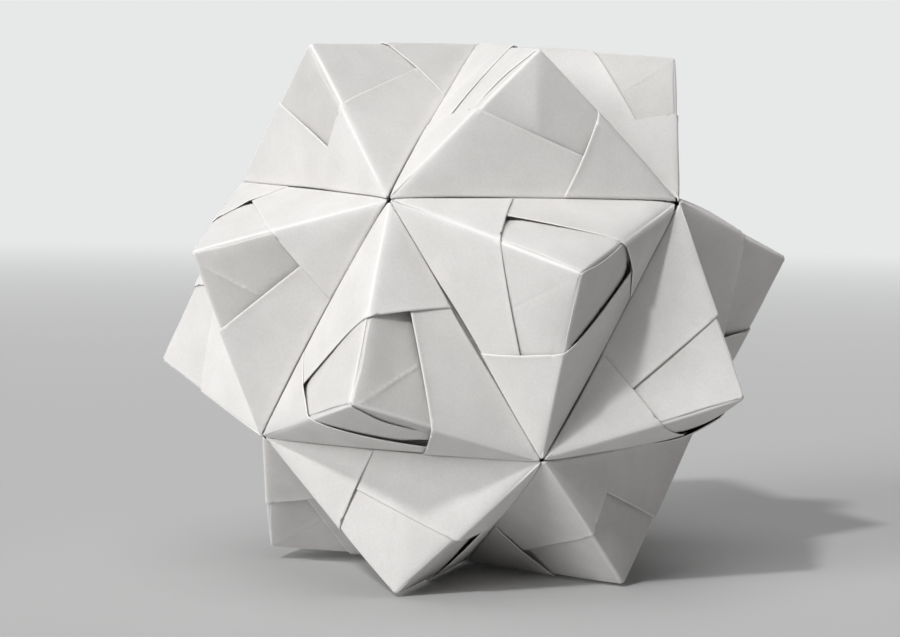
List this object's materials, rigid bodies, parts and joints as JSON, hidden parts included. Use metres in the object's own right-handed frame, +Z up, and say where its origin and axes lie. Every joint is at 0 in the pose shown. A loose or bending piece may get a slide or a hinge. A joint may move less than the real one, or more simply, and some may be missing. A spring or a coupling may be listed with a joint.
{
  "type": "kusudama paper ball",
  "caption": "Hollow star-shaped ball of interlocked folded white paper units, with three-sided right-angled pyramids and slim strips folded across them.",
  "frame": {"origin": "on the surface the ball rests on, straight below the centre of the ball, which is also the middle of its box", "axes": "+Z up, as the ball rests, leaning 2.6 degrees, on one five-way corner and on the ridges from it to the two peaks in front of it; -Y is the front, over those two peaks; X lies along the line between them"},
  "size_m": [0.162, 0.1716, 0.1435],
  "materials": {
    "paper": "matt uncoated white paper"
  },
  "bodies": {
    "root": {"folded_unit_01": "paper", "folded_unit_02": "paper", "folded_unit_03": "paper", "folded_unit_04": "paper", "folded_unit_05": "paper", "folded_unit_06": "paper", "folded_unit_07": "paper", "folded_unit_08": "paper", "folded_unit_09": "paper", "folded_unit_10": "paper", "folded_unit_11": "paper", "folded_unit_12": "paper", "folded_unit_13": "paper", "folded_unit_14": "paper", "folded_unit_15": "paper", "folded_unit_16": "paper", "folded_unit_17": "paper", "folded_unit_18": "paper", "folded_unit_19": "paper", "folded_unit_20": "paper", "folded_unit_21": "paper", "folded_unit_22": "paper", "folded_unit_23": "paper", "folded_unit_24": "paper", "folded_unit_25": "paper", "folded_unit_26": "paper", "folded_unit_27": "paper", "folded_unit_28": "paper", "folded_unit_29": "paper", "folded_unit_30": "paper"}
  },
  "joints": []
}
